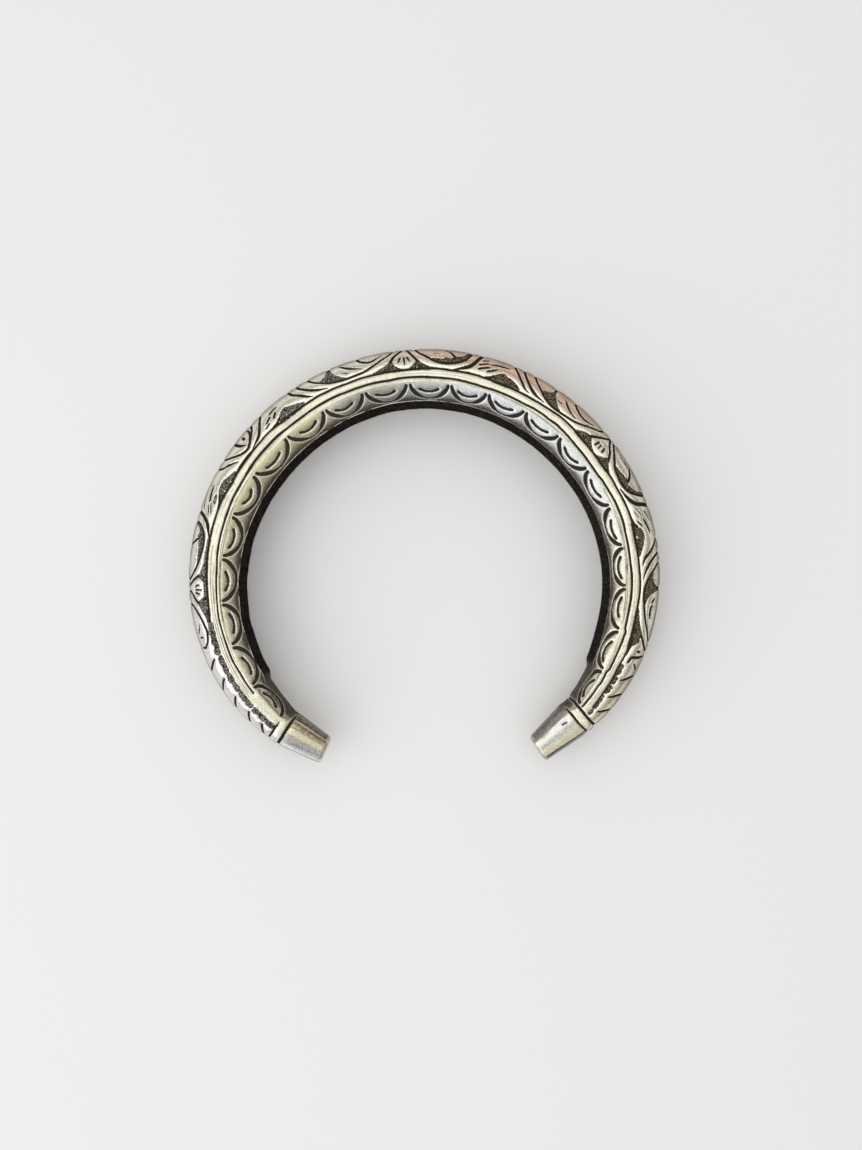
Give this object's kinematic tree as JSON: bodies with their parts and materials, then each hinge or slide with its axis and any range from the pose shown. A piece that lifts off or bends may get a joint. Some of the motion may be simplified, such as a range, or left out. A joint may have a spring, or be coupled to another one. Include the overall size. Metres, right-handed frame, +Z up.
{
  "type": "kada cuff bracelet",
  "caption": "Open silver kada, an oval cuff with narrowing ends, raised border bands, a scalloped inner bevel and a chased vine round its outer side.",
  "frame": {"origin": "under the middle of the hoop's box, on the surface that the lower border band rests on", "axes": "+Z up through the wrist hollow as the kada lies on its side, +Y towards the closed back of the hoop and -Y towards the gap between its ends, +X to the right in the picture"},
  "size_m": [0.0774, 0.0681, 0.012],
  "materials": {
    "silver": "old silver, worn bright on the high places, with a warm tarnish and blackened chased lines and stippled ground"
  },
  "bodies": {
    "root": {"kada": "silver"}
  },
  "joints": []
}
